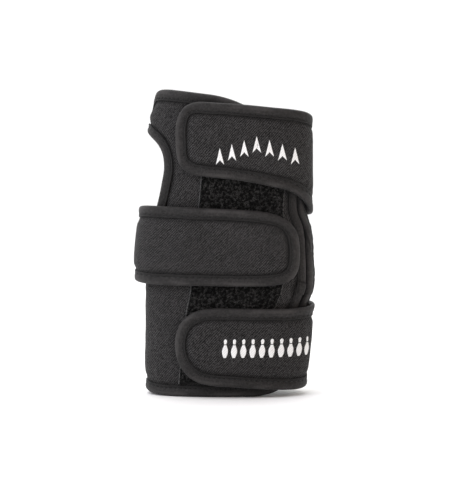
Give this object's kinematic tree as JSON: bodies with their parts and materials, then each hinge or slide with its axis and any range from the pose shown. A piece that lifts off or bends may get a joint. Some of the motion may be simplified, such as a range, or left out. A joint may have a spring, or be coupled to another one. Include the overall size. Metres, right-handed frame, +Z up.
{
  "type": "bowling glove",
  "caption": "Padded right-hand bowling glove: a bound wrap open at hand and forearm, with a thumb hole, closed by hook-and-loop straps.",
  "frame": {"origin": "centre of the bounding box's underside, where the forearm end rests", "axes": "+Z up towards the fingers, +X towards the side of the little finger, -Y out of the back of the hand"},
  "size_m": [0.1072, 0.0566, 0.1801],
  "materials": {
    "padded_cloth": "matt black twill over thin foam",
    "binding_tape": "matt black folded tape",
    "loop_pile": "fuzzy black loop pile",
    "hook_tape": "black hook tape"
  },
  "bodies": {
    "root": {"wrap_body": "padded_cloth", "hand_binding": "binding_tape", "forearm_binding": "binding_tape", "thumb_binding": "binding_tape", "loop_field": "loop_pile", "top_strap": "padded_cloth", "top_strap_binding": "binding_tape", "top_hook_patch": "hook_tape", "middle_strap": "padded_cloth", "middle_strap_binding": "binding_tape", "middle_hook_patch": "hook_tape", "bottom_strap": "padded_cloth", "bottom_strap_binding": "binding_tape", "bottom_hook_patch": "hook_tape"}
  },
  "joints": []
}
